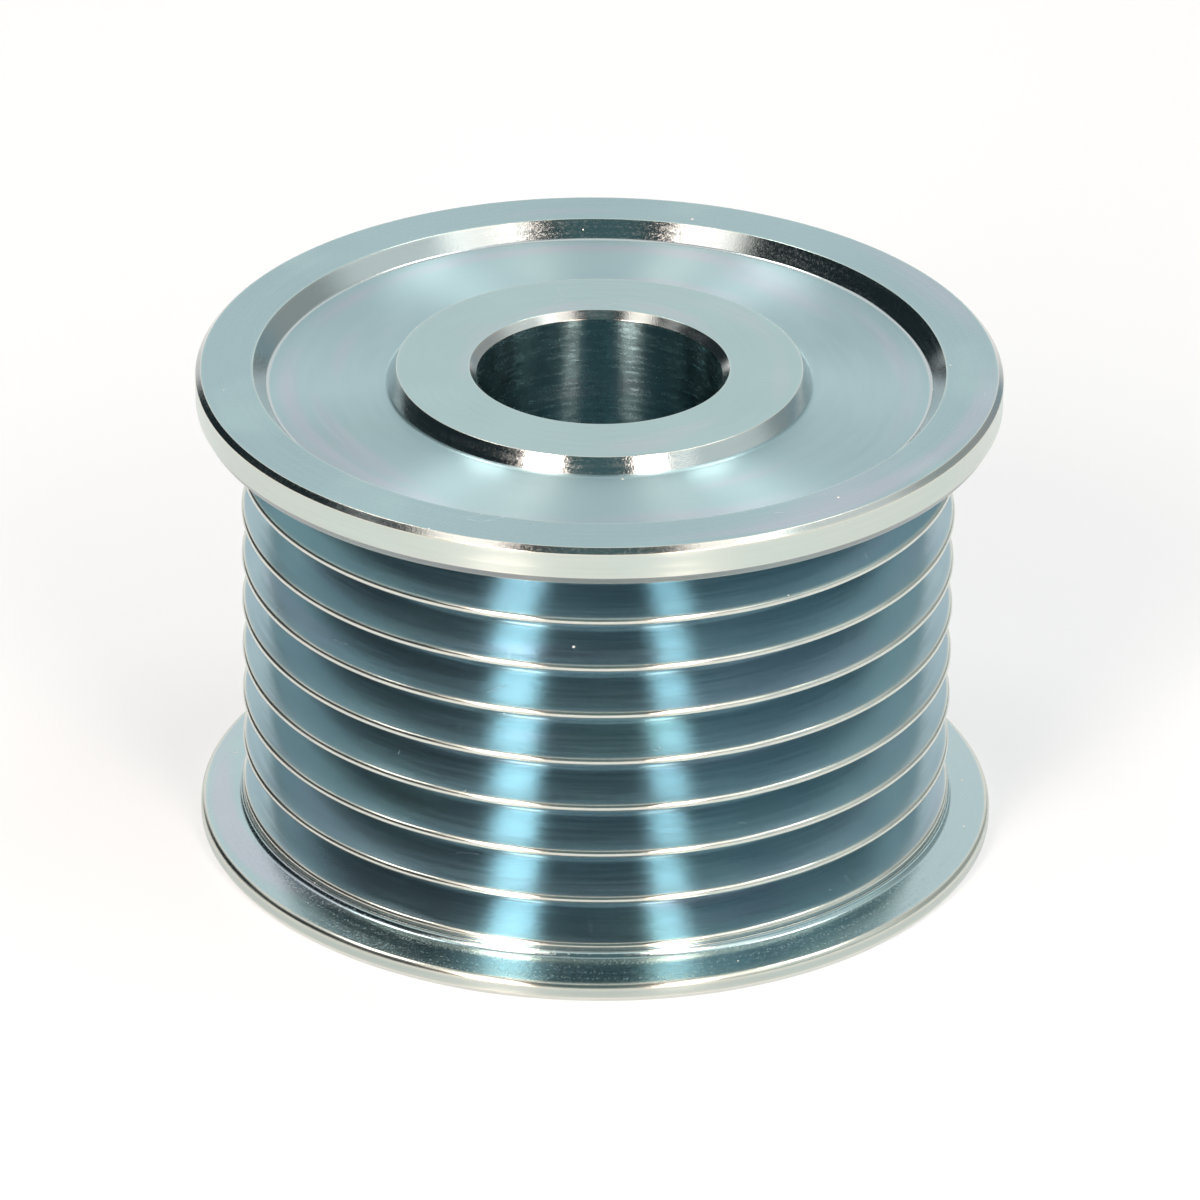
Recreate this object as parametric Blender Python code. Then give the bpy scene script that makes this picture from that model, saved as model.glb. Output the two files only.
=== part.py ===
"""Fan belt pulley: one piece of turned steel with a clear blue zinc finish.

The pulley stands on its lower face. Z is the shaft axis and the origin is the
centre of the lower face. Sizes are in metres, each one written once below, and
the whole body is a single closed profile spun round the axis. Heights stack up
from the base: lower flange, shoulder, ribbed track and upper flange. Radii step
out from the bore or from the rib crests.
"""

from math import cos, pi, radians, sin, tan

import bmesh
import bpy

MM = 0.001

# Facets: steps round the axis, along a rib's crest or root, and along the lower flange's arcs
SEGMENTS = 80
RIB_ARC_STEPS = 2
FLANGE_ARC_STEPS = 3
SHARP_ANGLE = radians(18.0)

# Shaft bore and the hub round it
BORE_RADIUS = 8.5 * MM
BORE_CHAMFER = 0.5 * MM
HUB_WALL = 5.55 * MM
HUB_SLOPE_WIDTH = 0.62 * MM

# Ribbed track, to the standard 3.56 mm belt section with 40 degree grooves
GROOVES = 8
PITCH = 3.56 * MM
FLANK = radians(20.0)
CREST_RADIUS = 24.8 * MM
CREST_ROUND = 0.28 * MM
ROOT_ROUND = 0.4 * MM

# Lower flange, with a fillet and a fine notch between it and the last rib
FLANGE_RISE = 3.0 * MM
FLANGE_LAND = 0.64 * MM
FLANGE_ROUND = 0.4 * MM
FLANGE_SLOPE = radians(12.0)
BASE_CHAMFER_WIDTH = 0.25 * MM
BASE_CHAMFER_HEIGHT = 0.36 * MM
SHOULDER_STEP = 0.07 * MM
SHOULDER_FILLET = 0.5 * MM
NOTCH_DEPTH = 0.2 * MM
NOTCH_HEIGHT = 0.08 * MM
NOTCH_ANGLE = radians(50.0)

# Upper flange
RIM_RISE = 3.1 * MM
RIM_LAND = 1.8 * MM
RIM_CHAMFER = 0.35 * MM
RIM_LIP_WIDTH = 0.3 * MM
RIM_LIP_DEPTH = 0.54 * MM

# Turned recess between the hub and the rim, in the upper face
RIM_FACE_WIDTH = 3.6 * MM
RECESS_DEPTH = 1.2 * MM
RECESS_FILLET = 0.28 * MM
RECESS_SLOPE_WIDTH = 0.88 * MM

# Finish
ZINC_COLOUR = (0.46, 0.56, 0.58, 1.0)
ZINC_ROUGHNESS = 0.28
ZINC_METALLIC = 1.0

# Radii that follow from the sizes above
HUB_RADIUS = BORE_RADIUS + HUB_WALL
RIM_RADIUS = CREST_RADIUS + RIM_RISE
FLANGE_RADIUS = CREST_RADIUS + FLANGE_RISE
SHOULDER_RADIUS = CREST_RADIUS + SHOULDER_STEP
RECESS_RADIUS = RIM_RADIUS - RIM_CHAMFER - RIM_FACE_WIDTH


def arc(radius, height, size, start, end, steps):
    """Points on an arc about (radius, height), with angles measured from the outward direction."""
    points = []
    for step in range(steps + 1):
        angle = start + (end - start) * step / steps
        points.append((radius + size * cos(angle), height + size * sin(angle)))
    return points


def flank_radius(half_width):
    """Radius at which a groove opens to the given half width between its straight flanks."""
    crest_tangent = CREST_RADIUS - CREST_ROUND * (1.0 - sin(FLANK))
    crest_half_width = PITCH / 2.0 - CREST_ROUND * cos(FLANK)
    return crest_tangent - (crest_half_width - half_width) / tan(FLANK)


def groove_half_width(radius):
    """Half width of a groove at a radius, from its flanks carried on in a straight line."""
    return (radius - flank_radius(0.0)) * tan(FLANK)


def flange_edge():
    """Rounded upper edge of the lower flange, from its sloping face down to the land."""
    land_top = BASE_CHAMFER_HEIGHT + FLANGE_LAND
    start = pi / 2.0 - FLANGE_SLOPE
    return arc(FLANGE_RADIUS - FLANGE_ROUND, land_top, FLANGE_ROUND, start, 0.0, FLANGE_ARC_STEPS)


def shoulder_fillet():
    """Fillet between the last rib and the lower flange, from the rib down to the sloping face."""
    end = 3.0 * pi / 2.0 - FLANGE_SLOPE
    edge_radius, edge_height = flange_edge()[0]
    centre_radius = SHOULDER_RADIUS + SHOULDER_FILLET
    slope_width = edge_radius - centre_radius - SHOULDER_FILLET * cos(end)
    foot_height = edge_height + slope_width * tan(FLANGE_SLOPE)
    centre_height = foot_height - SHOULDER_FILLET * sin(end)
    return arc(centre_radius, centre_height, SHOULDER_FILLET, pi, end, FLANGE_ARC_STEPS)


def rib_height(index):
    """Height of a rib's middle plane. Rib 0 is the last one, next to the lower flange."""
    shoulder_top = shoulder_fillet()[0][1]
    return shoulder_top + NOTCH_HEIGHT + CREST_ROUND + index * PITCH


def top_height():
    """Height of the upper face, over the first groove and the flange that its flank leads into."""
    flank_rise = groove_half_width(RIM_RADIUS - RIM_LIP_WIDTH)
    first_groove = rib_height(GROOVES) - PITCH / 2.0
    return first_groove + flank_rise + RIM_LIP_DEPTH + RIM_LAND + RIM_CHAMFER


def crest(height, end=-pi / 2.0 + FLANK):
    """Rounded top of a rib, from its upper flank over the crest to the given angle."""
    start = pi / 2.0 - FLANK
    return arc(CREST_RADIUS - CREST_ROUND, height, CREST_ROUND, start, end, RIB_ARC_STEPS)


def groove_root(height):
    """Rounded bottom of a groove, from its upper flank to its lower one."""
    centre = flank_radius(ROOT_ROUND * cos(FLANK)) + ROOT_ROUND * sin(FLANK)
    start = pi / 2.0 + FLANK
    end = 3.0 * pi / 2.0 - FLANK
    return arc(centre, height, ROOT_ROUND, start, end, RIB_ARC_STEPS)


def bore_wall():
    """Bore from the lower face up to the upper one, with a chamfer at each mouth."""
    top = top_height()
    mouth = BORE_RADIUS + BORE_CHAMFER
    return [
        (mouth, 0.0),
        (BORE_RADIUS, BORE_CHAMFER),
        (BORE_RADIUS, top - BORE_CHAMFER),
        (mouth, top),
    ]


def upper_face():
    """Hub face, turned recess and rim face, from the bore outwards."""
    top = top_height()
    floor = top - RECESS_DEPTH
    hub_foot = HUB_RADIUS + HUB_SLOPE_WIDTH
    slope_foot = RECESS_RADIUS - RECESS_SLOPE_WIDTH
    return [
        (HUB_RADIUS, top),
        (hub_foot, floor + RECESS_FILLET / 2.0),
        (hub_foot + RECESS_FILLET, floor),
        (slope_foot - RECESS_FILLET, floor),
        (slope_foot, floor + RECESS_FILLET),
        (RECESS_RADIUS, top),
        (RIM_RADIUS - RIM_CHAMFER, top),
    ]


def upper_flange():
    """Rim land with its chamfers. Its underside is the first groove's upper flank, carried outwards."""
    land_top = top_height() - RIM_CHAMFER
    land_foot = land_top - RIM_LAND
    return [
        (RIM_RADIUS, land_top),
        (RIM_RADIUS, land_foot),
        (RIM_RADIUS - RIM_LIP_WIDTH, land_foot - RIM_LIP_DEPTH),
    ]


def ribbed_track():
    """The grooves from the top down, each with the rib below it, as far as the notch under the last rib."""
    points = []
    for index in reversed(range(1, GROOVES)):
        points += groove_root(rib_height(index) + PITCH / 2.0)
        points += crest(rib_height(index))
    last_rib = rib_height(0)
    points += groove_root(last_rib + PITCH / 2.0)
    points += crest(last_rib, end=-NOTCH_ANGLE)
    points.append((SHOULDER_RADIUS - NOTCH_DEPTH, last_rib - CREST_ROUND))
    return points


def lower_flange():
    """Fillet, sloping face, rounded edge, short land and base chamfer of the lower flange."""
    return shoulder_fillet() + flange_edge() + [
        (FLANGE_RADIUS, BASE_CHAMFER_HEIGHT),
        (FLANGE_RADIUS - BASE_CHAMFER_WIDTH, 0.0),
    ]


def zinc_finish():
    """Clear blue zinc plating over turned steel."""
    material = bpy.data.materials.new("zinc_plated_steel")
    material.use_nodes = True
    shader = material.node_tree.nodes["Principled BSDF"]
    shader.inputs["Base Color"].default_value = ZINC_COLOUR
    shader.inputs["Roughness"].default_value = ZINC_ROUGHNESS
    shader.inputs["Metallic"].default_value = ZINC_METALLIC
    material.diffuse_color = ZINC_COLOUR
    return material


def turned(name, profile, material):
    """A solid of revolution about Z from a closed profile of (radius, height) points."""
    bm = bmesh.new()
    verts = [bm.verts.new((radius, 0.0, height)) for radius, height in profile]
    edges = [bm.edges.new((verts[i - 1], verts[i])) for i in range(len(verts))]
    bmesh.ops.spin(
        bm,
        geom=verts + edges,
        cent=(0.0, 0.0, 0.0),
        axis=(0.0, 0.0, 1.0),
        angle=2.0 * pi,
        steps=SEGMENTS,
        use_merge=True,
    )
    bmesh.ops.recalc_face_normals(bm, faces=bm.faces)
    mesh = bpy.data.meshes.new(name)
    bm.to_mesh(mesh)
    bm.free()
    mesh.shade_smooth()
    mesh.set_sharp_from_angle(angle=SHARP_ANGLE)
    mesh.materials.append(material)
    body = bpy.data.objects.new(name, mesh)
    bpy.context.scene.collection.objects.link(body)
    return body


def main():
    for existing in list(bpy.data.objects):
        bpy.data.objects.remove(existing, do_unlink=True)
    profile = bore_wall() + upper_face() + upper_flange() + ribbed_track() + lower_flange()
    turned("pulley", profile, zinc_finish())


main()
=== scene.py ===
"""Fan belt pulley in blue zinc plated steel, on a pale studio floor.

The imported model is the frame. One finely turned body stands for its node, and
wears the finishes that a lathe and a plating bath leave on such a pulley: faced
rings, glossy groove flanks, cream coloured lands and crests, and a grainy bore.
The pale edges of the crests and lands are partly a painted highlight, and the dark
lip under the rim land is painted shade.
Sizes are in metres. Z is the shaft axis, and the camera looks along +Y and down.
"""

import logging
from collections.abc import Iterable
from dataclasses import dataclass
from enum import Enum
from math import atan2, ceil, cos, pi, radians, sin, tan

import bpy
import numpy as np
from mathutils import Matrix, Vector


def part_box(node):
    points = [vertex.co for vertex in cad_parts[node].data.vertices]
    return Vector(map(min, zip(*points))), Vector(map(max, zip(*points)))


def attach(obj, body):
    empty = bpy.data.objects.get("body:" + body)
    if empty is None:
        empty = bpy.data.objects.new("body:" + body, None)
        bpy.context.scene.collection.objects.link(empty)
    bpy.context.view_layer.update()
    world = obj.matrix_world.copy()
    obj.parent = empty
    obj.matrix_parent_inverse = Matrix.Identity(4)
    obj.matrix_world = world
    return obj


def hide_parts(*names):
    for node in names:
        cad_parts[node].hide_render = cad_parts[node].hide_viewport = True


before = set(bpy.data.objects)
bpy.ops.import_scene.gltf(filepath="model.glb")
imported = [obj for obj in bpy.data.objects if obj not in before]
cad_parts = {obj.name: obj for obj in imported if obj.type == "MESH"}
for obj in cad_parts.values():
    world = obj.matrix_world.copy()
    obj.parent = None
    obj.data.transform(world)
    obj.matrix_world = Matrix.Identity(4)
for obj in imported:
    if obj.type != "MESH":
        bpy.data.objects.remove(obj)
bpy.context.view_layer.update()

MM = 0.001
LOG = logging.getLogger("pulley")

Colour = tuple[float, float, float]
Point = tuple[float, float]
Socket = bpy.types.NodeSocket
Input = Socket | float | Colour

WHITE: Colour = (1.0, 1.0, 1.0)

# Places of the sockets that a Mix node uses for colours
MIX_FACTOR = 0
MIX_FIRST = 6
MIX_SECOND = 7
MIX_RESULT = 2

# Bounces of light, enough for the deep grooves
LIGHT_BOUNCES = 16
GLOSSY_BOUNCES = 14


class Finish(Enum):
    """The finishes that the turned faces of the pulley carry."""

    HUB = "hub_zinc"
    FACED = "faced_zinc"
    RECESS = "recess_zinc"
    SLOPE = "slope_zinc"
    BEVEL = "bevel_zinc"
    LAND = "land_zinc"
    LIP = "lip_zinc"
    FOOT = "foot_zinc"
    GROOVE = "groove_zinc"
    FLANGE = "flange_zinc"
    BORE = "bore_zinc"


@dataclass(frozen=True)
class Corner:
    """A corner of the turned outline and the face that leaves it.

    Attributes:
        radius: Distance from the shaft axis.
        height: Height over the lower face.
        rounding: Radius of the corner's own rounding.
        finish: Finish of the face from this corner to the next one.
        rub_and_highlight: How strongly the corner shows the pale edge tint, from 0 to 1. That tint is
            partly rubbed plating and partly a painted highlight.
    """

    radius: float
    height: float
    rounding: float
    finish: Finish
    rub_and_highlight: float = 1.0


@dataclass(frozen=True)
class Station:
    """A point of the finished outline, as the spin needs it.

    Attributes:
        radius: Distance from the shaft axis.
        height: Height over the lower face.
        normal: Outward direction of the surface, as (radius, height).
        finish: Finish of the face from this point to the next one.
        edge: How strongly the point shows the edge tint, from 0 to 1.
    """

    radius: float
    height: float
    normal: Point
    finish: Finish
    edge: float


@dataclass(frozen=True)
class PulleySizes:
    """Sizes of the turned pulley. The rim radius and the height come from the frame.

    Rises and steps count from the rib crests, and depths from the face that they cut.
    The foot shift is the share of the recess fillet by which a slope's foot moves out.
    """

    rim_radius: float
    height: float

    # Shaft bore and hub
    bore_radius: float = 8.5 * MM
    bore_chamfer: float = 0.5 * MM
    hub_wall: float = 5.55 * MM
    hub_slope_width: float = 0.62 * MM

    # Ribbed track
    grooves: int = 8
    pitch: float = 3.56 * MM
    flank: float = radians(20.0)
    crest_round: float = 0.28 * MM
    root_round: float = 0.4 * MM

    # Lower flange, with a fillet and a notch under the last rib
    flange_rise: float = 3.0 * MM
    flange_land: float = 0.64 * MM
    flange_round: float = 0.4 * MM
    flange_slope: float = radians(12.0)
    base_chamfer_width: float = 0.25 * MM
    base_chamfer_height: float = 0.36 * MM
    shoulder_step: float = 0.07 * MM
    shoulder_fillet: float = 0.5 * MM
    notch_depth: float = 0.27 * MM
    notch_height: float = 0.08 * MM

    # Upper flange and the recess in its face
    rim_rise: float = 3.1 * MM
    rim_land: float = 1.8 * MM
    rim_chamfer: float = 0.35 * MM
    rim_lip_width: float = 0.3 * MM
    rim_lip_depth: float = 0.54 * MM
    rim_face_width: float = 3.6 * MM
    recess_depth: float = 1.2 * MM
    recess_fillet: float = 0.34 * MM
    recess_slope_width: float = 0.88 * MM
    foot_shift: float = 0.3

    # Roundings of the turned edges
    keen_edge: float = 0.04 * MM
    soft_edge: float = 0.07 * MM

    @property
    def crest_radius(self) -> float:
        """Radius of the rib crests."""
        return self.rim_radius - self.rim_rise

    @property
    def flange_radius(self) -> float:
        """Radius of the lower flange."""
        return self.crest_radius + self.flange_rise

    @property
    def shoulder_radius(self) -> float:
        """Radius of the wall between the last rib and the lower flange."""
        return self.crest_radius + self.shoulder_step

    @property
    def hub_radius(self) -> float:
        """Radius of the hub's flat face."""
        return self.bore_radius + self.hub_wall

    @property
    def recess_radius(self) -> float:
        """Radius at which the recess meets the rim face."""
        return self.rim_radius - self.rim_chamfer - self.rim_face_width

    def flank_radius(self, half_width: float) -> float:
        """Radius at which a groove's straight flanks stand a half width from its middle.

        Args:
            half_width: Distance along the axis from the groove's middle plane.

        Returns:
            The radius of the flank there.
        """
        tangent = self.crest_radius - self.crest_round * (1.0 - sin(self.flank))
        tangent_half_width = self.pitch / 2.0 - self.crest_round * cos(self.flank)
        return tangent - (tangent_half_width - half_width) / tan(self.flank)

    @property
    def first_groove(self) -> float:
        """Height of the first groove's middle plane, under the upper flange."""
        lip_radius = self.rim_radius - self.rim_lip_width
        opening = (lip_radius - self.flank_radius(0.0)) * tan(self.flank)
        return self.height - self.rim_chamfer - self.rim_land - self.rim_lip_depth - opening


@dataclass(frozen=True)
class Outline:
    """The pulley's closed profile, worked out from its sizes.

    Attributes:
        sizes: The sizes that it follows.
        turn_step: Largest turn between two points of a rounding.
        fewest_steps: Least number of steps in a rounding.
        rounding_room: Largest share of a side that a rounding may take.
        edge_reach: How far an edge's tint fades into a flat face.
        fade_room: Largest share of a face that one edge's fade may take.
        fade: Shares of the reach, each with the tint's strength there.
    """

    sizes: PulleySizes
    turn_step: float = radians(13.0)
    fewest_steps: int = 3
    rounding_room: float = 0.9
    edge_reach: float = 0.2 * MM
    fade_room: float = 0.45
    fade: tuple[tuple[float, float], ...] = ((0.12, 0.55), (0.4, 0.2), (1.0, 0.0))

    def bore_wall(self) -> list[Corner]:
        """Works out the bore.

        Returns:
            Its corners, from its lower mouth to its upper one.
        """
        s = self.sizes
        mouth = s.bore_radius + s.bore_chamfer
        return [
            Corner(mouth, 0.0, s.soft_edge, Finish.BEVEL),
            Corner(s.bore_radius, s.bore_chamfer, s.keen_edge, Finish.BORE, rub_and_highlight=0.5),
            Corner(s.bore_radius, s.height - s.bore_chamfer, s.keen_edge, Finish.BEVEL, rub_and_highlight=0.5),
            Corner(mouth, s.height, s.keen_edge, Finish.HUB),
        ]

    def upper_face(self) -> list[Corner]:
        """Works out the hub face, the turned recess and the rim face.

        Returns:
            Their corners, from the hub outwards.
        """
        s = self.sizes
        floor = s.height - s.recess_depth
        shift = s.recess_fillet * s.foot_shift
        hub_foot = s.hub_radius + s.hub_slope_width + shift
        slope_foot = s.recess_radius - s.recess_slope_width - shift
        return [
            Corner(s.hub_radius, s.height, s.keen_edge, Finish.SLOPE),
            Corner(hub_foot, floor, s.recess_fillet, Finish.RECESS, rub_and_highlight=0.0),
            Corner(slope_foot, floor, s.recess_fillet, Finish.SLOPE, rub_and_highlight=0.0),
            Corner(s.recess_radius, s.height, s.soft_edge, Finish.FACED),
            Corner(s.rim_radius - s.rim_chamfer, s.height, s.keen_edge, Finish.BEVEL),
        ]

    def upper_flange(self) -> list[Corner]:
        """Works out the rim land and its lip.

        Returns:
            Their corners, from the top down.
        """
        s = self.sizes
        land_top = s.height - s.rim_chamfer
        land_foot = land_top - s.rim_land
        lip_radius = s.rim_radius - s.rim_lip_width
        lip_foot = land_foot - s.rim_lip_depth
        return [
            Corner(s.rim_radius, land_top, s.keen_edge, Finish.LAND),
            Corner(s.rim_radius, land_foot, s.keen_edge, Finish.LIP, rub_and_highlight=0.4),
            Corner(lip_radius, lip_foot, s.soft_edge, Finish.GROOVE, rub_and_highlight=0.6),
        ]

    def ribbed_track(self) -> list[Corner]:
        """Works out the grooves and ribs.

        Returns:
            Their corners, from the top down to the notch under the last rib.
        """
        s = self.sizes
        root_radius = s.flank_radius(0.0)
        tip_radius = s.flank_radius(s.pitch / 2.0)
        corners = []
        for index in range(s.grooves):
            groove = s.first_groove - index * s.pitch
            crest = groove - s.pitch / 2.0
            corners.append(Corner(root_radius, groove, s.root_round, Finish.GROOVE, rub_and_highlight=0.0))
            corners.append(Corner(tip_radius, crest, s.crest_round, Finish.GROOVE))
        return corners

    def lower_flange(self) -> list[Corner]:
        """Works out the notch under the last rib, the fillet and the lower flange.

        Returns:
            Their corners, from the notch down to the base.
        """
        s = self.sizes
        notch = s.first_groove - (s.grooves - 0.5) * s.pitch - s.crest_round
        land_top = s.base_chamfer_height + s.flange_land
        edge_height = land_top + s.flange_round / tan((pi / 2.0 + s.flange_slope) / 2.0)
        wall_foot = edge_height + (s.flange_radius - s.shoulder_radius) * tan(s.flange_slope)
        notch_radius = s.shoulder_radius - s.notch_depth
        base_radius = s.flange_radius - s.base_chamfer_width
        return [
            Corner(notch_radius, notch - s.keen_edge, s.keen_edge, Finish.GROOVE, rub_and_highlight=0.0),
            Corner(s.shoulder_radius, notch - s.notch_height, s.keen_edge, Finish.GROOVE),
            Corner(s.shoulder_radius, wall_foot, s.shoulder_fillet, Finish.FLANGE, rub_and_highlight=0.0),
            Corner(s.flange_radius, edge_height, s.flange_round, Finish.FOOT, rub_and_highlight=0.6),
            Corner(s.flange_radius, s.base_chamfer_height, s.keen_edge, Finish.BEVEL),
            Corner(base_radius, 0.0, s.soft_edge, Finish.FACED),
        ]

    def corners(self) -> list[Corner]:
        """Puts the corners in order.

        Returns:
            All corners, up the bore, over the upper face and down the outside.
        """
        return (
            self.bore_wall()
            + self.upper_face()
            + self.upper_flange()
            + self.ribbed_track()
            + self.lower_flange()
        )

    def rounded(self, before: Corner, here: Corner, after: Corner) -> list[tuple[Point, Point]]:
        """Points and outward normals on the rounding of one corner.

        Args:
            before: The corner before it.
            here: The corner itself.
            after: The corner after it.

        Returns:
            Pairs of a (radius, height) point and its unit normal.
        """
        place = np.array([here.radius, here.height])
        back = np.array([before.radius, before.height]) - place
        ahead = np.array([after.radius, after.height]) - place
        room = self.rounding_room * min(np.linalg.norm(back), np.linalg.norm(ahead))
        back /= np.linalg.norm(back)
        ahead /= np.linalg.norm(ahead)
        opening = np.arccos(np.clip(back @ ahead, -1.0, 1.0))
        reach = min(here.rounding / tan(opening / 2.0), room)
        size = reach * tan(opening / 2.0)
        middle = back + ahead
        centre = place + middle / np.linalg.norm(middle) * size / sin(opening / 2.0)
        start = place + back * reach - centre
        end = place + ahead * reach - centre
        first = atan2(start[1], start[0])
        turn = (atan2(end[1], end[0]) - first + pi) % (2.0 * pi) - pi
        outward = np.array([back[1], -back[0]])
        side = 1.0 if outward @ start > 0.0 else -1.0
        steps = max(self.fewest_steps, ceil(abs(turn) / self.turn_step))
        found = []
        for step in range(steps + 1):
            angle = first + turn * step / steps
            spoke = np.array([cos(angle), sin(angle)])
            found.append((tuple(centre + spoke * size), tuple(spoke * side)))
        return found

    def stations(self) -> list[Station]:
        """Rounds the corners and fades each edge's tint into the faces beside it.

        Returns:
            The outline as points with normals, finishes and edge closeness.
        """
        corners = self.corners()
        following = corners[1:] + corners[:1]
        preceding = corners[-1:] + corners[:-1]
        arcs = [self.rounded(*three) for three in zip(preceding, corners, following)]
        found: list[Station] = []
        for corner, after, arc, next_arc in zip(corners, following, arcs, arcs[1:] + arcs[:1]):
            for place, normal in arc:
                found.append(Station(*place, normal, corner.finish, corner.rub_and_highlight))
            start, normal = np.array(arc[-1][0]), arc[-1][1]
            end = np.array(next_arc[0][0])
            length = float(np.linalg.norm(end - start))
            marks = [(share * self.edge_reach, tint) for share, tint in self.fade]
            marks = [(reach, tint) for reach, tint in marks if reach < length * self.fade_room]
            inner = [(reach, corner.rub_and_highlight * tint) for reach, tint in marks]
            outer = [(length - reach, after.rub_and_highlight * tint) for reach, tint in reversed(marks)]
            for distance, edge in inner + outer:
                place = start + (end - start) * distance / length
                found.append(Station(*place, normal, corner.finish, edge))
        return found


@dataclass
class TurnedBody:
    """The pulley's body: the outline spun round the shaft axis.

    Attributes:
        sizes: Sizes that the outline follows.
        name: Name of the piece.
        node: CAD node that it stands for.
        slot: Material slot of the record. It is not used.
        segments: Steps of the spin.
    """

    sizes: PulleySizes
    name: str = "turned_pulley"
    node: str = "pulley"
    slot: str = "zinc_plated_steel"
    segments: int = 200

    def build(self) -> bpy.types.Object:
        """Makes the mesh with its exact normals and the attributes that the finishes read.

        Returns:
            The new piece, riding on the root body.
        """
        stations = Outline(self.sizes).stations()
        count = len(stations)
        angles = np.arange(self.segments) * 2.0 * pi / self.segments
        across = np.stack([np.cos(angles), np.sin(angles)], axis=1)
        radius = np.array([s.radius for s in stations])
        height = np.array([s.height for s in stations])
        normal = np.array([s.normal for s in stations])
        points = np.empty((self.segments, count, 3))
        points[:, :, :2] = across[:, None, :] * radius[None, :, None]
        points[:, :, 2] = height
        normals = np.empty_like(points)
        normals[:, :, :2] = across[:, None, :] * normal[None, :, 0, None]
        normals[:, :, 2] = normal[:, 1]
        here = np.arange(self.segments * count).reshape(self.segments, count)
        beside = np.roll(here, -1, axis=0)
        faces = np.stack(
            [here, np.roll(here, -1, axis=1), np.roll(beside, -1, axis=1), beside], axis=-1
        ).reshape(-1, 4)
        mesh = bpy.data.meshes.new(self.name)
        mesh.from_pydata(points.reshape(-1, 3).tolist(), [], faces.tolist())
        mesh.shade_smooth()
        self.label(mesh, stations)
        mesh.normals_split_custom_set_from_vertices(normals.reshape(-1, 3).tolist())
        mesh.validate(clean_customdata=False)
        body = bpy.data.objects.new(self.name, mesh)
        bpy.context.scene.collection.objects.link(body)
        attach(body, "root")
        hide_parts(self.node)
        LOG.info("%s: %d points in the outline, %d faces", self.name, count, len(mesh.polygons))
        return body

    def label(self, mesh: bpy.types.Mesh, stations: list[Station]) -> None:
        """Writes the finish of each face, the sweep along the outline and the edge closeness.

        Args:
            mesh: The spun mesh.
            stations: The outline that it was spun from.
        """
        radius = np.array([s.radius for s in stations])
        height = np.array([s.height for s in stations])
        steps = np.hypot(np.diff(radius), np.diff(height))
        sweep = np.concatenate([[0.0], np.cumsum(steps)]) / MM
        edge = np.array([s.edge for s in stations])
        for name, values in (("sweep", sweep), ("edge", edge)):
            layer = mesh.attributes.new(name, "FLOAT", "POINT")
            layer.data.foreach_set("value", np.tile(values, self.segments).astype(np.float32))
        order = {finish: index for index, finish in enumerate(Finish)}
        slots = [order[s.finish] for s in stations]
        mesh.polygons.foreach_set("material_index", np.tile(slots, self.segments).astype(np.int32))

    def dress(self, body: bpy.types.Object, finishes: dict[Finish, bpy.types.Material]) -> None:
        """Puts a material in each slot, in the order of the finishes.

        Args:
            body: The spun piece.
            finishes: Material of each finish.
        """
        indices = np.empty(len(body.data.polygons), np.int32)
        body.data.polygons.foreach_get("material_index", indices)
        for finish in Finish:
            body.data.materials.append(finishes[finish])
        body.data.polygons.foreach_set("material_index", indices)
        body.data.update()


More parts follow.
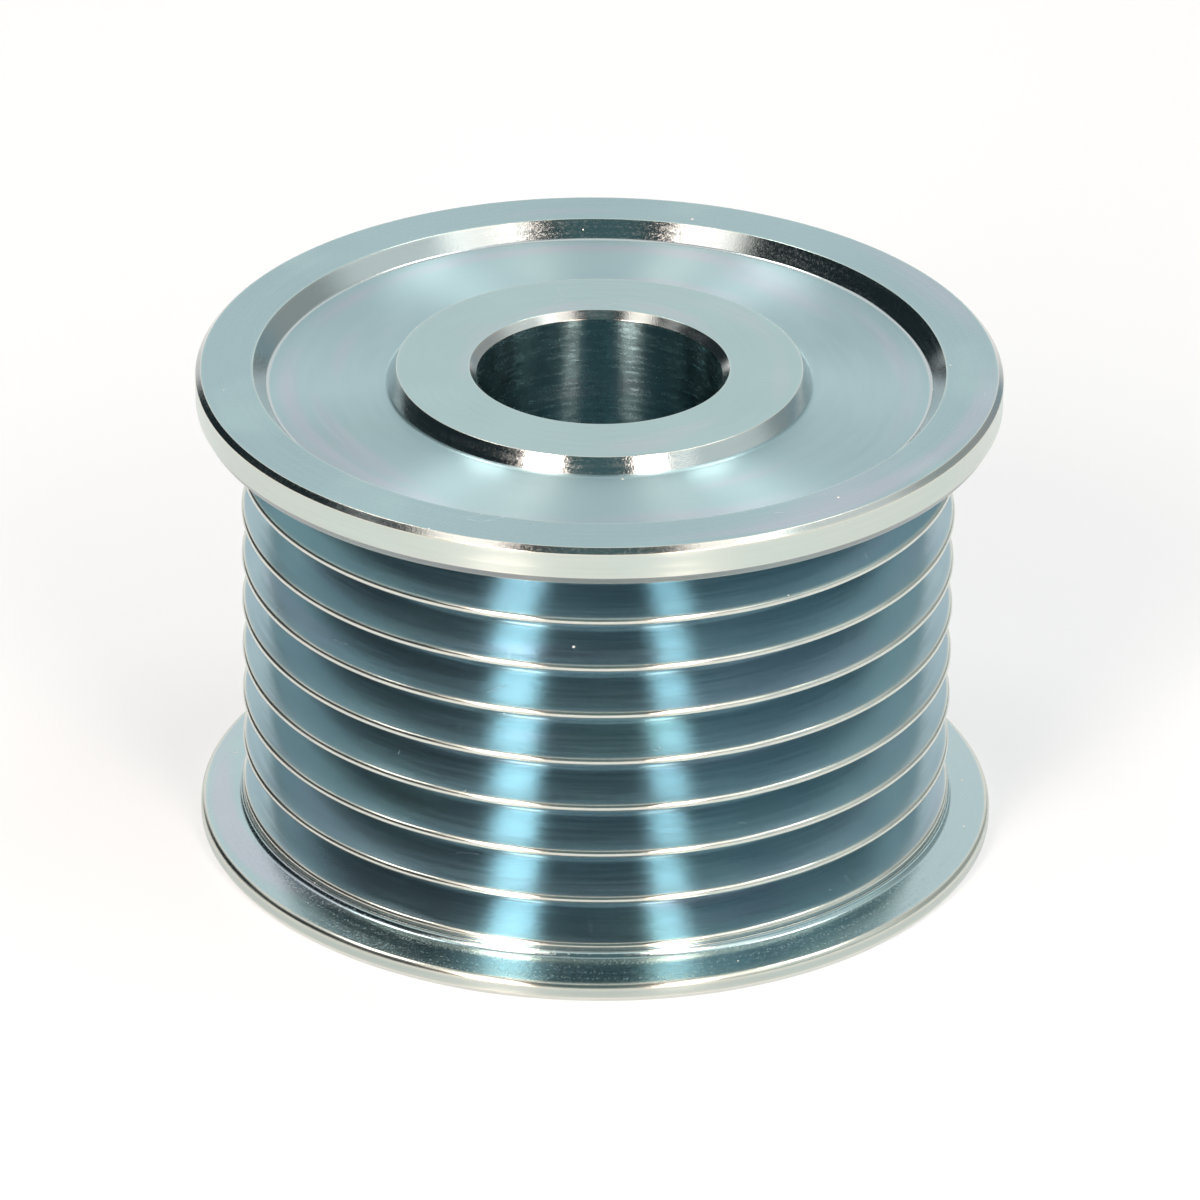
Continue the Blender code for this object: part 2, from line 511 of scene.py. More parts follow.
class Wiring:
    """A short way to add and join nodes in one node tree."""

    def __init__(self, tree: bpy.types.NodeTree) -> None:
        """Keeps the tree that nodes are added to."""
        self.tree = tree

    def node(self, kind: str, feeds: dict[str | int, Input] | None = None,
             **settings: object) -> bpy.types.Node:
        """Adds a node.

        Args:
            kind: The node's type without its ShaderNode prefix.
            feeds: What its inputs get, by their name or place.
            **settings: Properties to set on it.

        Returns:
            The new node.
        """
        made = self.tree.nodes.new("ShaderNode" + kind)
        for name, value in settings.items():
            setattr(made, name, value)
        self.feed(made, feeds or {})
        return made

    def feed(self, node: bpy.types.Node, feeds: dict[str | int, Input]) -> None:
        """Links a node's inputs to other sockets, or sets their values."""
        for key, value in feeds.items():
            self.put(node.inputs[key], value)

    def put(self, socket: Socket, value: Input) -> None:
        """Links a socket to another one, or sets its value.

        Args:
            socket: The input socket.
            value: An output socket, a number, a colour or a vector.
        """
        if isinstance(value, Socket):
            self.tree.links.new(value, socket)
        elif isinstance(value, tuple) and socket.type == "RGBA" and len(value) == 3:
            socket.default_value = (*value, 1.0)
        else:
            socket.default_value = value

    def math(self, operation: str, *values: Input, clamp: bool = False) -> Socket:
        """Adds a Math node.

        Args:
            operation: Its operation.
            *values: Numbers or sockets for its inputs.
            clamp: Whether the result stays between 0 and 1.

        Returns:
            Its output.
        """
        made = self.node("Math", operation=operation, use_clamp=clamp)
        for socket, value in zip(made.inputs, values):
            self.put(socket, value)
        return made.outputs[0]

    def remap(self, value: Input, low: Input, high: Input, to_low: float = 0.0, to_high: float = 1.0,
              smooth: bool = True) -> Socket:
        """Adds a Map Range node.

        Args:
            value: The value to map.
            low: Where the ramp starts.
            high: Where the ramp ends.
            to_low: Result at the start.
            to_high: Result at the end.
            smooth: Whether the ramp eases in and out.

        Returns:
            The mapped value.
        """
        feeds = {"Value": value, "From Min": low, "From Max": high, "To Min": to_low, "To Max": to_high}
        kind = "SMOOTHSTEP" if smooth else "LINEAR"
        return self.node("MapRange", feeds, interpolation_type=kind, clamp=True).outputs["Result"]

    def mix(self, factor: Input, first: Input, second: Input, blend: str = "MIX") -> Socket:
        """Mixes two colours.

        Args:
            factor: Share of the second colour.
            first: The first colour.
            second: The second colour.
            blend: How they mix.

        Returns:
            The mixed colour.
        """
        feeds = {MIX_FACTOR: factor, MIX_FIRST: first, MIX_SECOND: second}
        return self.node("Mix", feeds, data_type="RGBA", blend_type=blend).outputs[MIX_RESULT]

    def vector(self, operation: str, *values: Input) -> Socket:
        """Adds a Vector Math node.

        Args:
            operation: Its operation.
            *values: Vectors or sockets for its inputs. A number goes to its scale.

        Returns:
            Its vector output.
        """
        made = self.node("VectorMath", operation=operation)
        for index, value in enumerate(values):
            socket = made.inputs["Scale"] if operation == "SCALE" and index == 1 else made.inputs[index]
            self.put(socket, value)
        return made.outputs[0]

    def noise(self, vector: Input, scale: Input, detail: float = 2.0, roughness: float = 0.5) -> Socket:
        """Adds a noise texture.

        Args:
            vector: Where it is read.
            scale: Its scale.
            detail: Its octaves.
            roughness: How strong the fine octaves are.

        Returns:
            Its value, about 0.5 on average.
        """
        feeds = {"Vector": vector, "Scale": scale, "Detail": detail, "Roughness": roughness}
        return self.node("TexNoise", feeds, noise_dimensions="3D").outputs[0]


def group_tree(
    name: str, inputs: dict[str, float | Colour], outputs: tuple[str, ...]
) -> tuple[Wiring, dict[str, Socket], bpy.types.Node]:
    """Starts a shader node group.

    Args:
        name: Name of the group.
        inputs: Input names with default values. A tuple makes a colour.
        outputs: Output names. One named Color is a colour, and the others are numbers.

    Returns:
        The wiring of its tree, its input sockets by name, and its output node.
    """
    tree = bpy.data.node_groups.new(name, "ShaderNodeTree")
    for label, value in inputs.items():
        kind = "NodeSocketColor" if isinstance(value, tuple) else "NodeSocketFloat"
        socket = tree.interface.new_socket(label, in_out="INPUT", socket_type=kind)
        socket.default_value = (*value, 1.0) if isinstance(value, tuple) else value
    for label in outputs:
        kind = "NodeSocketColor" if label == "Color" else "NodeSocketFloat"
        tree.interface.new_socket(label, in_out="OUTPUT", socket_type=kind)
    source = tree.nodes.new("NodeGroupInput")
    sink = tree.nodes.new("NodeGroupOutput")
    return Wiring(tree), {s.name: s for s in source.outputs}, sink


class SurfaceEffects:
    """The node groups that the finishes share. Each one is built once.

    A scale counts cells per metre. A pair of cells counts them on the unit circle round
    the axis and per millimetre along the outline. A pair named FROM gives the noise value
    at which an effect sets in and the one at which it is full.
    """

    BROAD_RINGS = 2.5
    BROAD_SHARE = 0.25
    GLOSS_FROM = (0.3, 0.7)

    CLOUD_SCALE = 85.0
    BAND_CELLS = (0.9, 0.32)
    ROSE_FROM = (0.56, 0.72)
    RING_FROM = (0.35, 0.65)
    SEA_FROM = (0.5, 0.7)
    # These break up the pale edges, which are partly rubbed plating and partly a painted highlight.
    RUB_AND_HIGHLIGHT_CELLS = (14.0, 3.0)
    RUB_AND_HIGHLIGHT_FROM = (0.25, 0.6)
    LEAST_RUB_AND_HIGHLIGHT = 0.75

    FLECKS_FROM = (0.22, 0.36)

    SPECK_SIZES = (0.03, 0.075)
    BEND_SCALE = 160.0
    BEND_DEPTH = 0.006
    SCRATCH_SCALE = 130.0
    SCRATCH_WIDTH = 0.0025
    GATE_SCALE = 420.0
    GATE_FROM = (0.68, 0.71)

    def __init__(self) -> None:
        """Builds the groups."""
        self.marks = self.turning_marks()
        self.film = self.passivation_film()
        self.grain = self.plating_grain()
        self.dust = self.dust_and_nicks()

    def around(self, wiring: Wiring, stretch: Input, fine: Input) -> Socket:
        """A place for textures drawn out round the axis, without a seam.

        Args:
            wiring: Tree to add the nodes to.
            stretch: Size of the pattern round the axis, as cells on the unit circle.
            fine: Cells per millimetre along the outline.

        Returns:
            The vector to read a texture at.
        """
        place = wiring.node("TexCoord").outputs["Object"]
        flat = wiring.vector("MULTIPLY", place, (1.0, 1.0, 0.0))
        ring = wiring.vector("NORMALIZE", flat)
        spread = wiring.vector("SCALE", ring, stretch)
        sweep = wiring.node("Attribute", attribute_name="sweep").outputs["Fac"]
        along = wiring.node("CombineXYZ", {"Z": wiring.math("MULTIPLY", sweep, fine)})
        return wiring.vector("ADD", spread, along.outputs[0])

    def drawn_noise(self, wiring: Wiring, cells: tuple[Input, Input], detail: float,
                    roughness: float) -> Socket:
        """Noise that is drawn out round the axis.

        Args:
            wiring: Tree to add the nodes to.
            cells: Cells on the unit circle, and per millimetre along the outline.
            detail: Octaves of the noise.
            roughness: How strong the fine octaves are.

        Returns:
            Its value, about 0.5 on average.
        """
        return wiring.noise(self.around(wiring, *cells), 1.0, detail, roughness)

    def turning_marks(self) -> bpy.types.NodeTree:
        """Makes the fine rings that the tool leaves.

        Returns:
            The group, which puts them out as a height and as a change of gloss.
        """
        wiring, given, sink = group_tree(
            "turning_marks",
            {"Rings per mm": 8.0, "Chatter": 3.0},
            ("Height", "Gloss"),
        )
        fine = self.drawn_noise(wiring, (given["Chatter"], given["Rings per mm"]), 2.0, 0.6)
        broad = wiring.math("DIVIDE", given["Rings per mm"], self.BROAD_RINGS)
        wide = self.drawn_noise(wiring, (given["Chatter"], broad), 1.0, 0.5)
        swell = wiring.math("MULTIPLY", wide, self.BROAD_SHARE)
        gloss = wiring.remap(wide, *self.GLOSS_FROM, -1.0, 1.0)
        wiring.feed(sink, {"Height": wiring.math("ADD", fine, swell), "Gloss": gloss})
        return wiring.tree

    def passivation_film(self) -> bpy.types.NodeTree:
        """Makes the clear blue film, which drifts to rose and sea green, and its pale edges, which are
        partly rubbed plating and partly a painted highlight.

        Returns:
            The group, which puts out the film's colour.
        """
        wiring, given, sink = group_tree(
            "passivation_film",
            {
                "Tint": (0.5, 0.6, 0.65),
                "Edge Tint": (0.6, 0.65, 0.6),
                "Rose": (0.6, 0.5, 0.62),
                "Sea": (0.5, 0.66, 0.6),
                "Drift": 0.3,
                "Ring": 0.0,
                "Ring Radius": 0.02,
                "Ring Width": 0.001,
            },
            ("Color",),
        )
        place = wiring.node("TexCoord").outputs["Object"]
        clouds = wiring.noise(place, self.CLOUD_SCALE, 2.0, 0.55)
        bands = self.drawn_noise(wiring, self.BAND_CELLS, 1.0, 0.5)
        drift = given["Drift"]
        rose = wiring.math("MULTIPLY", wiring.remap(bands, *self.ROSE_FROM), drift)
        flat = wiring.vector("MULTIPLY", place, (1.0, 1.0, 0.0))
        radius = wiring.node("VectorMath", {0: flat}, operation="LENGTH")
        off_ring = wiring.math("SUBTRACT", radius.outputs["Value"], given["Ring Radius"])
        off_ring = wiring.math("ABSOLUTE", off_ring)
        ring = wiring.remap(off_ring, 0.0, given["Ring Width"], 1.0, 0.0)
        ring = wiring.math("MULTIPLY", ring, given["Ring"])
        ring = wiring.math("MULTIPLY", ring, wiring.remap(clouds, *self.RING_FROM))
        rose = wiring.math("MAXIMUM", rose, ring)
        sea = wiring.math("MULTIPLY", wiring.remap(clouds, *self.SEA_FROM), drift)
        colour = wiring.mix(sea, given["Tint"], given["Sea"])
        colour = wiring.mix(rose, colour, given["Rose"])
        # Pale edges: partly rubbed plating, partly a painted highlight that brightens every edge whatever
        # the light.
        edge = wiring.node("Attribute", attribute_name="edge").outputs["Fac"]
        broken = self.drawn_noise(wiring, self.RUB_AND_HIGHLIGHT_CELLS, 3.0, 0.6)
        broken = wiring.remap(broken, *self.RUB_AND_HIGHLIGHT_FROM, self.LEAST_RUB_AND_HIGHLIGHT, 1.0)
        rubbed_and_highlit = wiring.math("MULTIPLY", edge, broken, clamp=True)
        wiring.feed(sink, {"Color": wiring.mix(rubbed_and_highlit, colour, given["Edge Tint"])})
        return wiring.tree

    def plating_grain(self) -> bpy.types.NodeTree:
        """Makes the fine grain and short flecks of the plated layer.

        Returns:
            The group, which puts them out as two heights and a mask.
        """
        wiring, given, sink = group_tree(
            "plating_grain",
            {"Grain": 9000.0, "Flecks per mm": 2.5, "Flecks round": 42.0},
            ("Grit", "Flecks", "Mask"),
        )
        place = wiring.node("TexCoord").outputs["Object"]
        grit = wiring.noise(place, given["Grain"], 2.0, 0.7)
        flecks = self.drawn_noise(wiring, (given["Flecks round"], given["Flecks per mm"]), 3.0, 0.65)
        mask = wiring.remap(wiring.math("MULTIPLY", grit, flecks), *self.FLECKS_FROM)
        wiring.feed(sink, {"Grit": grit, "Flecks": flecks, "Mask": mask})
        return wiring.tree

    def dust_and_nicks(self) -> bpy.types.NodeTree:
        """Makes sparse dust specks and hairline scratches.

        Returns:
            The group, which puts them out as masks.
        """
        wiring, given, sink = group_tree(
            "dust_and_nicks",
            {"Specks": 620.0, "Amount": 0.1},
            ("Dust", "Scratches"),
        )
        place = wiring.node("TexCoord").outputs["Object"]
        feeds = {"Vector": place, "Scale": given["Specks"]}
        cells = wiring.node("TexVoronoi", feeds, feature="F1", voronoi_dimensions="3D")
        pick = wiring.node("SeparateColor", {0: cells.outputs["Color"]})
        chosen = wiring.math("LESS_THAN", pick.outputs["Red"], given["Amount"])
        size = wiring.remap(pick.outputs["Green"], 0.0, 1.0, *self.SPECK_SIZES, smooth=False)
        near = wiring.math("LESS_THAN", cells.outputs["Distance"], size)
        feeds = {"Vector": place, "Scale": self.BEND_SCALE}
        drift = wiring.node("TexNoise", feeds, noise_dimensions="3D").outputs["Color"]
        bend = wiring.vector("SCALE", drift, self.BEND_DEPTH)
        bent = wiring.vector("ADD", place, bend)
        feeds = {"Vector": bent, "Scale": self.SCRATCH_SCALE}
        lines = wiring.node("TexVoronoi", feeds, feature="DISTANCE_TO_EDGE", voronoi_dimensions="3D")
        thin = wiring.math("LESS_THAN", lines.outputs["Distance"], self.SCRATCH_WIDTH)
        gate = wiring.remap(wiring.noise(place, self.GATE_SCALE, 1.0, 0.5), *self.GATE_FROM)
        scratches = wiring.math("MULTIPLY", thin, gate)
        wiring.feed(sink, {"Dust": wiring.math("MULTIPLY", chosen, near), "Scratches": scratches})
        return wiring.tree


@dataclass(frozen=True)
class ZincFinish:
    """A zinc plated, turned finish.

    Attributes:
        tint: Colour of the plated metal.
        rubbed_edge_and_highlight_tint: Colour of the pale edges, partly rubbed plating and partly a painted
            highlight.
        roughness: How blurred reflections are.
        gloss_swing: How much the turning marks change the roughness.
        stretch: How far reflections are drawn out across the turning marks.
        rings_per_mm: Fineness of the turning marks.
        marks_depth: Height of the turning marks, in millimetres.
        grain_depth: Height of the plated grain, in millimetres.
        grain_gloss: How much the grain changes the roughness.
        fleck_depth: Height of the flecks, in millimetres.
        flecks_per_mm: How many flecks lie along a millimetre of the outline.
        flecks_round: How many lie along the axis' turn, as cells on the unit circle.
        drift: How far the film's colour drifts.
        dust: Share of cells that hold a dust speck.
        scratches: How far hairline scratches show.
        cloud: Share of the light that the plated layer scatters.
        ring: Strength of a rose ring in the film.
        ring_radius: Radius of that ring.
        ring_width: Distance over which it fades.
        rose: Colour of the ring and of the film's warm bands.
        sea: Colour of the film's green clouds.
        dust_colour: Colour of specks and scratches.
        mark_roughness: How much rougher specks and scratches are.
        turn: Turn of the drawn-out reflections, as a share of a full one.
    """

    tint: Colour
    rubbed_edge_and_highlight_tint: Colour
    roughness: float
    gloss_swing: float = 0.03
    stretch: float = 0.6
    rings_per_mm: float = 8.0
    marks_depth: float = 0.0006
    grain_depth: float = 0.0
    grain_gloss: float = 0.0
    fleck_depth: float = 0.0
    flecks_per_mm: float = 5.0
    flecks_round: float = 120.0
    drift: float = 0.3
    dust: float = 0.04
    scratches: float = 0.3
    cloud: float = 0.0
    ring: float = 0.0
    ring_radius: float = 21.6 * MM
    ring_width: float = 1.1 * MM
    rose: Colour = (0.60, 0.50, 0.62)
    sea: Colour = (0.46, 0.64, 0.62)
    dust_colour: Colour = (0.72, 0.74, 0.72)
    mark_roughness: float = 0.35
    turn: float = 0.25

    def material(self, name: str, effects: SurfaceEffects) -> bpy.types.Material:
        """Builds the material.

        Args:
            name: Its name.
            effects: The shared node groups.

        Returns:
            The new material.
        """
        made = bpy.data.materials.new(name)
        made.use_nodes = True
        made.diffuse_color = (*self.tint, 1.0)
        wiring = Wiring(made.node_tree)
        shader = made.node_tree.nodes["Principled BSDF"]
        film = wiring.node("Group", {
            "Tint": self.tint, "Edge Tint": self.rubbed_edge_and_highlight_tint, "Rose": self.rose, "Sea": self.sea,
            "Drift": self.drift, "Ring": self.ring, "Ring Radius": self.ring_radius,
            "Ring Width": self.ring_width,
        }, node_tree=effects.film)
        marks = wiring.node("Group", {"Rings per mm": self.rings_per_mm}, node_tree=effects.marks)
        feeds = {"Flecks per mm": self.flecks_per_mm, "Flecks round": self.flecks_round}
        grain = wiring.node("Group", feeds, node_tree=effects.grain)
        dust = wiring.node("Group", {"Amount": self.dust}, node_tree=effects.dust)
        tangent = wiring.node("Tangent", direction_type="RADIAL", axis="Z")

        specks = dust.outputs["Dust"]
        lines = wiring.math("MULTIPLY", dust.outputs["Scratches"], self.scratches)
        marked = wiring.math("ADD", specks, lines, clamp=True)
        colour = wiring.mix(marked, film.outputs["Color"], self.dust_colour)
        metal = wiring.math("SUBTRACT", 1.0 - self.cloud, specks, clamp=True)
        rough = wiring.math("MULTIPLY_ADD", marks.outputs["Gloss"], self.gloss_swing, self.roughness)
        rough = wiring.math("MULTIPLY_ADD", grain.outputs["Mask"], self.grain_gloss, rough)
        rough = wiring.math("MULTIPLY_ADD", marked, self.mark_roughness, rough, clamp=True)

        height = wiring.math("MULTIPLY", marks.outputs["Height"], self.marks_depth)
        height = wiring.math("MULTIPLY_ADD", grain.outputs["Grit"], self.grain_depth, height)
        height = wiring.math("MULTIPLY_ADD", grain.outputs["Flecks"], self.fleck_depth, height)
        bump = wiring.node("Bump", {"Distance": MM, "Height": height})

        wiring.feed(shader, {
            "Base Color": colour, "Metallic": metal, "Roughness": rough, "Normal": bump.outputs[0],
            "Anisotropic": self.stretch, "Anisotropic Rotation": self.turn,
            "Tangent": tangent.outputs[0],
        })
        return made


# Pale edge colours: partly rubbed plating, partly a painted highlight along the edges.
PALE_RING: Colour = (0.50, 0.62, 0.60)
CREAM: Colour = (0.74, 0.73, 0.64)

FINISHES: dict[Finish, ZincFinish] = {
    Finish.HUB: ZincFinish((0.385, 0.525, 0.53), PALE_RING, 0.24, stretch=0.8, drift=0.2),
    Finish.FACED: ZincFinish((0.335, 0.475, 0.50), PALE_RING, 0.26, stretch=0.85, drift=0.3),
    Finish.RECESS: ZincFinish(
        (0.395, 0.55, 0.58), (0.50, 0.58, 0.60), 0.36, gloss_swing=0.015, stretch=0.95, drift=0.25,
        rings_per_mm=5.0, marks_depth=0.0003, ring=0.35
    ),
    Finish.SLOPE: ZincFinish(
        (0.51, 0.57, 0.58), (0.66, 0.68, 0.64), 0.115, drift=0.15, grain_depth=0.004,
        grain_gloss=0.1, fleck_depth=0.003, flecks_round=90.0, dust=0.3, scratches=0.1
    ),
    Finish.BEVEL: ZincFinish(
        (0.57, 0.60, 0.59), (0.72, 0.72, 0.66), 0.12, stretch=0.5, grain_depth=0.004,
        grain_gloss=0.1, fleck_depth=0.003, dust=0.2, scratches=0.1
    ),
    Finish.LAND: ZincFinish((0.565, 0.63, 0.585), CREAM, 0.21, stretch=0.9, drift=0.15, dust=0.02),
    # The lip's dark tint is painted shade: it stands in for the shadowed floor that the undercut mirrors.
    Finish.LIP: ZincFinish((0.26, 0.30, 0.30), (0.44, 0.45, 0.42), 0.25, stretch=0.4, drift=0.1),
    Finish.FOOT: ZincFinish((0.485, 0.545, 0.515), CREAM, 0.22, stretch=0.9, drift=0.15, dust=0.05),
    Finish.GROOVE: ZincFinish(
        (0.33, 0.455, 0.505), (0.66, 0.68, 0.62), 0.185, stretch=0.86, drift=0.2, dust=0.1, cloud=0.03
    ),
    Finish.FLANGE: ZincFinish(
        (0.42, 0.55, 0.57), (0.70, 0.70, 0.64), 0.15, stretch=0.5, grain_depth=0.005,
        grain_gloss=0.12, fleck_depth=0.001, drift=0.35, dust=0.25
    ),
    Finish.BORE: ZincFinish(
        (0.26, 0.41, 0.44), (0.6, 0.6, 0.56), 0.22, stretch=1.0, grain_depth=0.003,
        grain_gloss=0.05, fleck_depth=0.012, flecks_round=14.0, drift=0.1, dust=0.0, scratches=0.0
    ),
}


@dataclass(frozen=True)
class Softbox:
    """A soft light, placed by the direction in which the pulley sees it. Angles are in degrees.

    Attributes:
        name: Name of the lamp.
        azimuth: Angle from the camera's side, to the right when positive.
        elevation: Angle over the floor.
        width: Width of the panel.
        height: Height of the panel.
        roll: Turn of the panel in its own plane.
        radiance: Brightness of the panel's face, where white paper is 1.
        colour: Colour of its light.
        feather: Share of the width over which the panel's outer side fades.
        distance: Distance from the pulley's middle.
    """

    name: str
    azimuth: float
    elevation: float
    width: float
    height: float
    roll: float
    radiance: float
    feather: float = 0.3
    distance: float = 1.0
    colour: Colour = (1.0, 0.93, 0.86)

    def place(self, target: Vector) -> bpy.types.Object:
        """Makes the lamp.

        Args:
            target: The point that it faces.

        Returns:
            The lamp object.
        """
        light = bpy.data.lights.new(self.name, "AREA")
        light.shape = "RECTANGLE"
        light.size = self.width
        light.size_y = self.height
        light.energy = self.radiance * pi * self.width * self.height
        light.color = self.colour
        lamp = bpy.data.objects.new(self.name, light)
        bpy.context.scene.collection.objects.link(lamp)
        azimuth, elevation = radians(self.azimuth), radians(self.elevation)
        away = Vector((
            sin(azimuth) * cos(elevation),
            -cos(azimuth) * cos(elevation),
            sin(elevation),
        ))
        lamp.location = target + away * self.distance
        facing = away.to_track_quat("Z", "Y").to_matrix().to_4x4()
        rolled = facing @ Matrix.Rotation(radians(self.roll), 4, "Z")
        lamp.matrix_world = Matrix.Translation(lamp.location) @ rolled
        lamp.visible_camera = False
        light.use_nodes = True
        wiring = Wiring(light.node_tree)
        across = wiring.node("SeparateXYZ", {0: wiring.node("NewGeometry").outputs["Parametric"]})
        outer = across.outputs["X"]
        if self.azimuth > 0.0:
            outer = wiring.math("SUBTRACT", 1.0, outer)
        glow = light.node_tree.nodes["Emission"]
        wiring.feed(glow, {"Strength": wiring.remap(outer, 0.0, self.feather)})
        return lamp


# Colours of the room's patches and of the strips
MID_GREY: Colour = (0.41, 0.44, 0.43)
SHADE: Colour = (0.25, 0.37, 0.41)
TUNGSTEN: Colour = (1.0, 0.79, 0.69)
REFLECTOR: Colour = (0.85, 0.90, 0.89)
NIGHT: Colour = (0.016, 0.026, 0.03)
DUSK: Colour = (0.075, 0.15, 0.16)


@dataclass(frozen=True)
class Patch:
    """A soft-edged patch of the room, placed by the directions that it covers, in degrees.

    Attributes:
        left: Azimuth of its left side.
        right: Azimuth of its right side.
        low: Elevation of its lower side.
        high: Elevation of its upper side.
        side_blur: Width of its soft left and right sides.
        end_blur: Width of its soft lower and upper ends.
        colour: Colour of the patch, where white paper is 1.
    """

    left: float
    right: float
    low: float
    high: float
    side_blur: float
    end_blur: float
    colour: Colour


@dataclass(frozen=True)
class Studio:
    """Floor, room and lamps.

    Attributes:
        floor_size: Half width of the floor.
        floor_colour: Colour of the floor.
        floor_roughness: How blurred the floor's sheen is.
        floor_specular: Strength of that sheen.
        floor_lift: How far the floor's own glow evens it out where it is seen or mirrored.
        mottle_scale: Cells of the floor's faint mottle per metre.
        mottle_low: Brightness of the mottle's darkest parts.
        room_level: Brightness with which the pale room lights matt surfaces.
        patches: Patches of the room, each painted over the ones before.
        boxes: The soft lamps.
    """

    floor_size: float = 6.0
    floor_colour: Colour = (0.865, 0.935, 0.975)
    floor_roughness: float = 0.9
    floor_specular: float = 0.2
    floor_lift: float = 0.42
    mottle_scale: float = 9.0
    mottle_low: float = 0.985
    room_level: float = 0.45
    patches: tuple[Patch, ...] = (
        Patch(left=36.0, right=150.0, low=-90.0, high=44.0, side_blur=12.0, end_blur=40.0, colour=MID_GREY),
        Patch(left=30.0, right=104.0, low=14.0, high=64.0, side_blur=18.0, end_blur=18.0, colour=REFLECTOR),
        Patch(left=34.0, right=152.0, low=-90.0, high=8.0, side_blur=10.0, end_blur=14.0, colour=SHADE),
        Patch(left=-114.0, right=36.0, low=-90.0, high=48.0, side_blur=12.0, end_blur=12.0, colour=NIGHT),
        Patch(left=-148.0, right=-96.0, low=-90.0, high=38.0, side_blur=10.0, end_blur=10.0, colour=NIGHT),
        Patch(left=-82.0, right=58.0, low=36.0, high=72.0, side_blur=14.0, end_blur=16.0, colour=NIGHT),
        Patch(left=-20.0, right=20.0, low=-20.0, high=68.0, side_blur=16.0, end_blur=16.0, colour=DUSK),
    )
    boxes: tuple[Softbox, ...] = (
        Softbox("left_strip", -29.8, 22.5, 0.285, 0.92, roll=13.0, radiance=17.5, colour=TUNGSTEN),
        Softbox("right_strip", 27.3, 22.5, 0.22, 0.92, roll=-13.0, radiance=13.4, colour=TUNGSTEN),
        Softbox("left_panel", -50.5, 50.5, 0.38, 0.50, roll=20.0, radiance=1.7, feather=0.4),
        Softbox("right_panel", 51.5, 48.0, 0.46, 0.56, roll=-20.0, radiance=1.6, feather=0.4),
        Softbox("left_top", -117.0, 61.0, 0.40, 0.20, roll=0.0, radiance=7.0, feather=0.2),
        Softbox("right_top", 117.0, 61.0, 0.40, 0.20, roll=0.0, radiance=6.4, feather=0.2),
    )

    def seen_directly(self, wiring: Wiring) -> Socket:
        """Finds the rays that show a background: camera, glossy and transmission.

        Args:
            wiring: Tree to add the nodes to.

        Returns:
            A mask that is 1 for those rays.
        """
        path = wiring.node("LightPath").outputs
        shiny = wiring.math("MAXIMUM", path["Is Glossy Ray"], path["Is Transmission Ray"])
        return wiring.math("MAXIMUM", path["Is Camera Ray"], shiny)

    def floor(self) -> bpy.types.Object:
        """Makes the pale floor, which keeps a soft shadow of the pulley.

        Returns:
            The floor.
        """
        size = self.floor_size
        mesh = bpy.data.meshes.new("studio_floor")
        corners = [(-size, -size, 0), (size, -size, 0), (size, size, 0), (-size, size, 0)]
        mesh.from_pydata(corners, [], [(0, 1, 2, 3)])
        plane = bpy.data.objects.new("studio_floor", mesh)
        bpy.context.scene.collection.objects.link(plane)
        material = bpy.data.materials.new("studio_floor")
        material.use_nodes = True
        wiring = Wiring(material.node_tree)
        shader = material.node_tree.nodes["Principled BSDF"]
        output = material.node_tree.nodes["Material Output"]
        place = wiring.node("TexCoord").outputs["Object"]
        mottle = wiring.noise(place, self.mottle_scale, 3.0)
        mottle = wiring.remap(mottle, 0.2, 0.8, self.mottle_low, 1.0)
        colour = wiring.mix(1.0, self.floor_colour, mottle, "MULTIPLY")
        wiring.feed(shader, {
            "Base Color": colour, "Roughness": self.floor_roughness,
            "Specular IOR Level": self.floor_specular,
        })
        glow = wiring.node("Emission", {"Color": WHITE})
        lift = wiring.math("MULTIPLY", self.seen_directly(wiring), self.floor_lift)
        blend = wiring.node("MixShader", {0: lift, 1: shader.outputs[0], 2: glow.outputs[0]})
        wiring.feed(output, {"Surface": blend.outputs[0]})
        mesh.materials.append(material)
        return plane

    def room(self) -> None:
        """Paints the room: pale behind and overhead, dark in front where the camera stands."""
        world = bpy.data.worlds.new("studio_room")
        bpy.context.scene.world = world
        world.use_nodes = True
        wiring = Wiring(world.node_tree)
        axes = wiring.node("SeparateXYZ", {0: wiring.node("TexCoord").outputs["Generated"]})
        east, north, up = axes.outputs
        azimuth = wiring.math("ARCTAN2", east, wiring.math("MULTIPLY", north, -1.0))
        elevation = wiring.math("ARCSINE", up)
        lit = wiring.math("MAXIMUM", self.seen_directly(wiring), self.room_level)
        colour = wiring.mix(1.0, WHITE, lit, "MULTIPLY")
        camera_ray = wiring.node("LightPath").outputs["Is Camera Ray"]
        for patch in self.patches:
            mask = wiring.math("SUBTRACT", 1.0, camera_ray)
            for angle, *span in (
                (azimuth, patch.left, patch.right, patch.side_blur),
                (elevation, patch.low, patch.high, patch.end_blur),
            ):
                low, high, blur = (radians(degrees) for degrees in span)
                half = blur / 2.0
                rise = wiring.remap(angle, low - half, low + half)
                fall = wiring.remap(angle, high - half, high + half, 1.0, 0.0)
                mask = wiring.math("MULTIPLY", wiring.math("MULTIPLY", mask, rise), fall)
            colour = wiring.mix(mask, colour, patch.colour)
        wiring.feed(world.node_tree.nodes["Background"], {"Color": colour})

    def build(self, target: Vector) -> None:
        """Makes the floor, the room and the lamps.

        Args:
            target: The point that the lamps face.
        """
        self.floor()
        self.room()
        for box in self.boxes:
            box.place(target)
        LOG.info("studio: %d lamps", len(self.boxes))


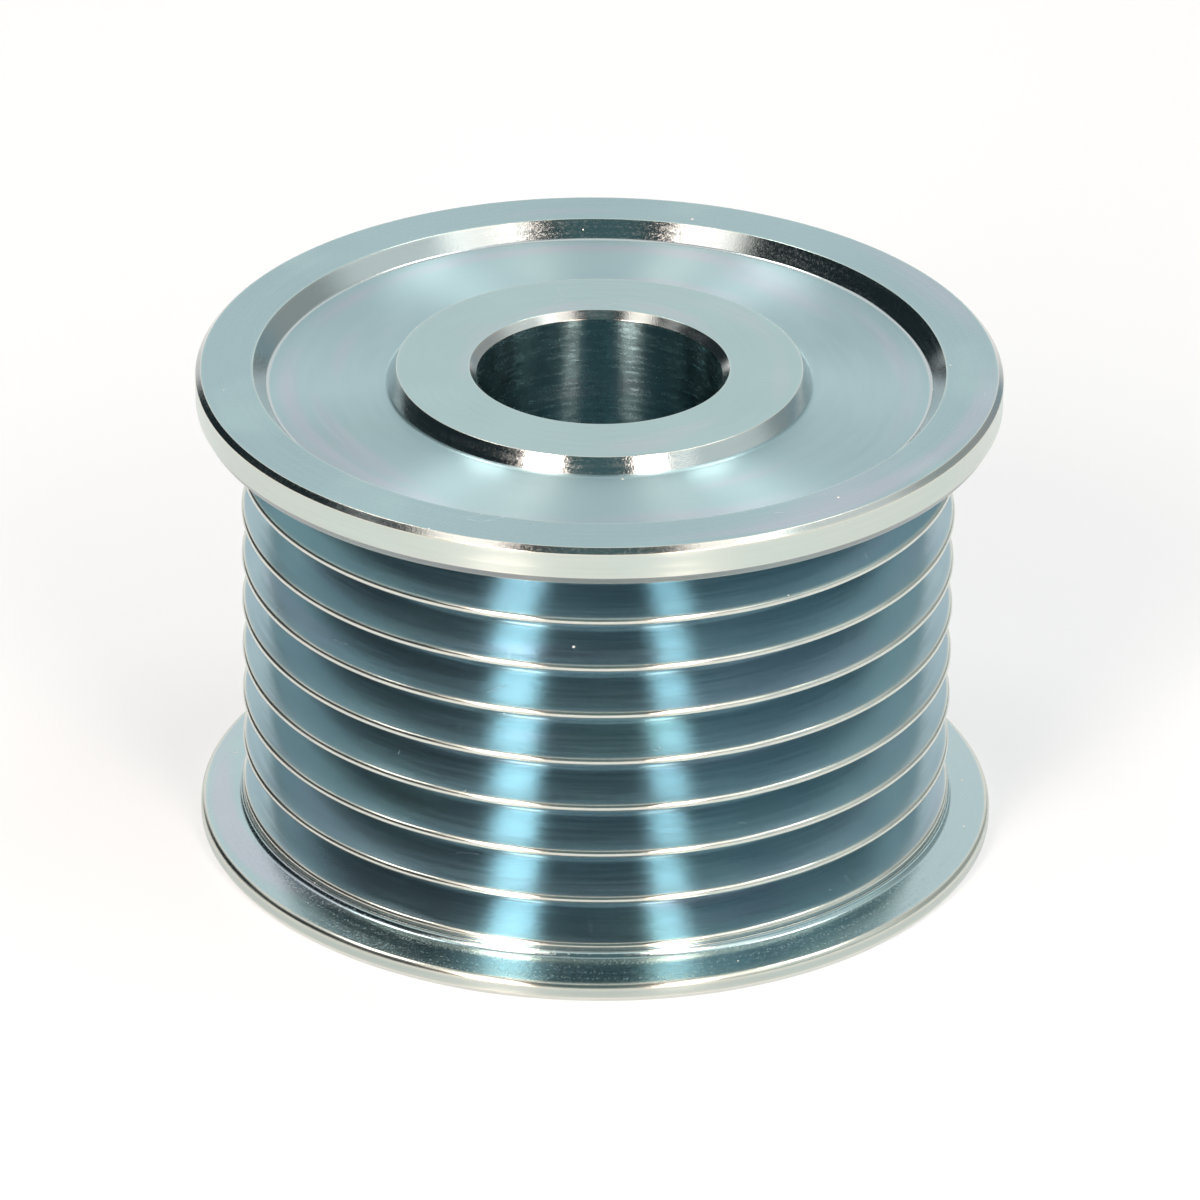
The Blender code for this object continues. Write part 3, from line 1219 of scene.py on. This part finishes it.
@dataclass(frozen=True)
class StudioCamera:
    """The camera at the photograph's viewing angle.

    Attributes:
        tilt: Angle by which it looks down.
        roll: Turn about its own axis.
        distance: Distance to the point that it looks at.
        target: The point that it looks at.
        lens: Focal length, in millimetres.
        sensor: Width of the sensor, in millimetres.
        clip: Nearest and farthest distance that it shows.
    """

    tilt: float = radians(27.370)
    roll: float = radians(0.6029)
    distance: float = 679.925 * MM
    target: tuple[float, float, float] = (0.196 * MM, 0.0, 16.526 * MM)
    lens: float = 291.86
    sensor: float = 36.0
    clip: tuple[float, float] = (0.05, 50.0)

    def build(self) -> bpy.types.Object:
        """Makes the camera and puts it in use.

        Returns:
            The camera object.
        """
        data = bpy.data.cameras.new("studio_camera")
        data.sensor_width = self.sensor
        data.lens = self.lens
        data.clip_start, data.clip_end = self.clip
        camera = bpy.data.objects.new("studio_camera", data)
        bpy.context.scene.collection.objects.link(camera)
        back = Vector((0.0, -cos(self.tilt), sin(self.tilt)))
        level = Vector((1.0, 0.0, 0.0))
        above = back.cross(level)
        right = level * cos(self.roll) + above * sin(self.roll)
        up = above * cos(self.roll) - level * sin(self.roll)
        turn = Matrix((right, up, back)).transposed().to_4x4()
        camera.matrix_world = Matrix.Translation(Vector(self.target) + back * self.distance) @ turn
        bpy.context.scene.camera = camera
        return camera


def set_view() -> None:
    """Shows colours as they are written, and lets light bounce deep into the grooves."""
    scene = bpy.context.scene
    scene.view_settings.view_transform = "Standard"
    scene.cycles.max_bounces = LIGHT_BOUNCES
    scene.cycles.glossy_bounces = GLOSSY_BOUNCES


def main() -> None:
    """Builds the pulley, its finishes, the studio and the camera."""
    logging.basicConfig(level=logging.INFO, format="%(name)s: %(message)s")
    low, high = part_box("pulley")
    sizes = PulleySizes(rim_radius=(high.x - low.x) / 2.0, height=high.z)
    set_view()
    StudioCamera().build()
    effects = SurfaceEffects()
    finishes = {kind: finish.material(kind.value, effects) for kind, finish in FINISHES.items()}
    pulley = TurnedBody(sizes)
    body = pulley.build()
    pulley.dress(body, finishes)
    Studio().build(Vector((0.0, 0.0, sizes.height / 2.0)))


if __name__ == "__main__":
    main()
